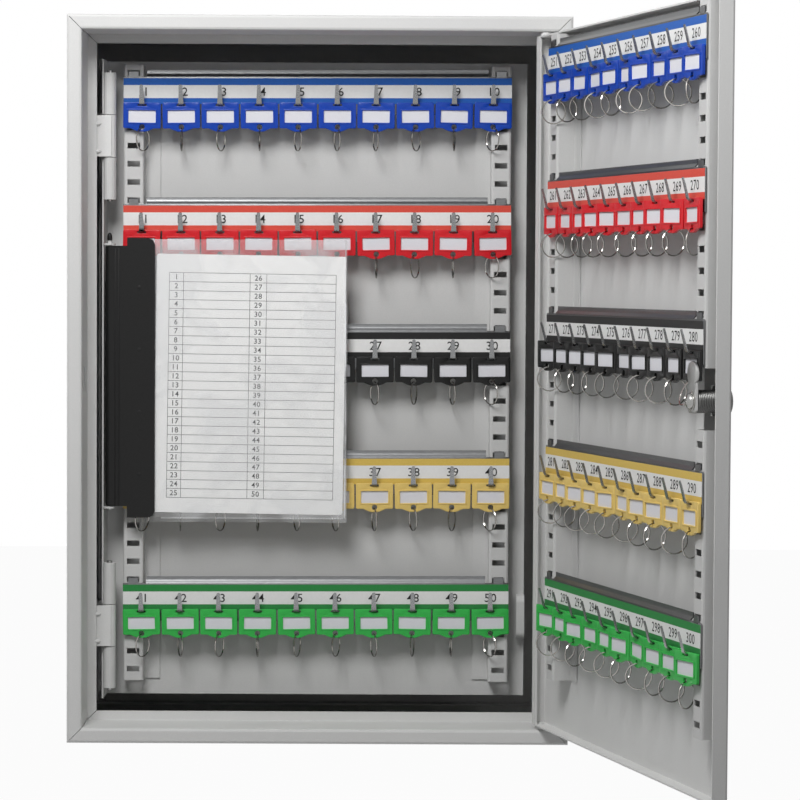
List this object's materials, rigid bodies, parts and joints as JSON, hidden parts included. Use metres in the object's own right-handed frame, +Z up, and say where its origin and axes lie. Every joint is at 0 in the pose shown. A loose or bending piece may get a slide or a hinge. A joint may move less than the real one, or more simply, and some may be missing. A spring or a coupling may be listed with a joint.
{
  "type": "wall key cabinet",
  "caption": "Wall-hung steel key cabinet with a flush door, two swinging leaves of numbered key hooks, a back rack, an index holder and a cam lock.",
  "frame": {"origin": "centre of the flat back, on the wall plane", "axes": "+X to the right as seen from the front, +Y into the wall, +Z up; the front faces -Y"},
  "size_m": [0.4645, 0.5318, 0.55],
  "materials": {
    "paint": "fine grey powder coat",
    "steel": "zinc plated",
    "black": "moulded black plastic",
    "film": "clear film",
    "paper": "matt white card",
    "blue_bar": "satin blue",
    "red_bar": "satin red",
    "black_bar": "satin black",
    "yellow_bar": "satin yellow",
    "green_bar": "satin green"
  },
  "bodies": {
    "cabinet": {"body_shell": "paint", "back_panel": "paint", "wall_bar_blue": "blue_bar", "wall_bar_red": "red_bar", "wall_bar_black": "black_bar", "wall_bar_yellow": "yellow_bar", "wall_bar_green": "green_bar", "front_leaf_knuckle_upper": "paint", "front_leaf_pin_upper": "steel", "front_leaf_knuckle_lower": "paint", "front_leaf_pin_lower": "steel", "rear_leaf_knuckle_upper": "paint", "rear_leaf_pin_upper": "steel", "rear_leaf_knuckle_lower": "paint", "rear_leaf_pin_lower": "steel", "door_pivot_upper": "steel", "door_pivot_lower": "steel"},
    "door": {"door_pan": "paint", "door_upright_hinge_side": "paint", "door_upright_lock_side": "paint", "door_bar_blue": "blue_bar", "door_bar_red": "red_bar", "door_bar_black": "black_bar", "door_bar_yellow": "yellow_bar", "door_bar_green": "green_bar", "lock_body": "steel", "lock_nut": "steel"},
    "lock": {"lock_plug": "steel", "lock_cam": "steel", "lock_screw": "steel"},
    "front_leaf": {"front_leaf": "paint", "front_leaf_upright_left": "paint", "front_leaf_upright_right": "paint", "front_bar_blue": "blue_bar", "front_bar_red": "red_bar", "front_bar_black": "black_bar", "front_bar_yellow": "yellow_bar", "front_bar_green": "green_bar", "behind_bar_blue": "blue_bar", "behind_bar_red": "red_bar", "behind_bar_black": "black_bar", "behind_bar_yellow": "yellow_bar", "behind_bar_green": "green_bar", "front_leaf_pull": "paint"},
    "rear_leaf": {"rear_leaf": "paint", "third_bar_blue": "blue_bar", "third_bar_red": "red_bar", "third_bar_black": "black_bar", "third_bar_yellow": "yellow_bar", "third_bar_green": "green_bar", "fourth_bar_blue": "blue_bar", "fourth_bar_red": "red_bar", "fourth_bar_black": "black_bar", "fourth_bar_yellow": "yellow_bar", "fourth_bar_green": "green_bar", "rear_leaf_pull": "paint"},
    "index": {"index_spine": "black", "index_pocket": "film"},
    "card": {"index_card": "paper"}
  },
  "joints": [
    {"name": "door_hinge", "type": "hinge", "parent": "cabinet", "child": "door", "pos_m": [0.1698, -0.199, 0], "axis": [0, 0, 1], "range_deg": [-106.4, 5]},
    {"name": "lock_turn", "type": "hinge", "parent": "door", "child": "lock", "pos_m": [0.26929, -0.5158, 0], "axis": [0.9593, 0.2823, 0], "range_deg": [0, 90]},
    {"name": "front_leaf_swing", "type": "hinge", "parent": "cabinet", "child": "front_leaf", "pos_m": [-0.1623, -0.155, 0], "axis": [0, 0, -1], "range_deg": [0, 85]},
    {"name": "rear_leaf_swing", "type": "hinge", "parent": "cabinet", "child": "rear_leaf", "pos_m": [-0.1705, -0.097, 0], "axis": [0, 0, -1], "range_deg": [0, 42.5]},
    {"name": "index_swing", "type": "hinge", "parent": "front_leaf", "child": "index", "pos_m": [-0.1623, -0.155, 0], "axis": [0, 0, -1], "range_deg": [0, 20]},
    {"name": "card_slide", "type": "slide", "parent": "index", "child": "card", "axis": [0, 0, 1], "range_m": [0, 0.12]}
  ],
  "couplings": [
    {"joint": "rear_leaf_swing", "follows": "front_leaf_swing", "ratio": 0.5}
  ]
}
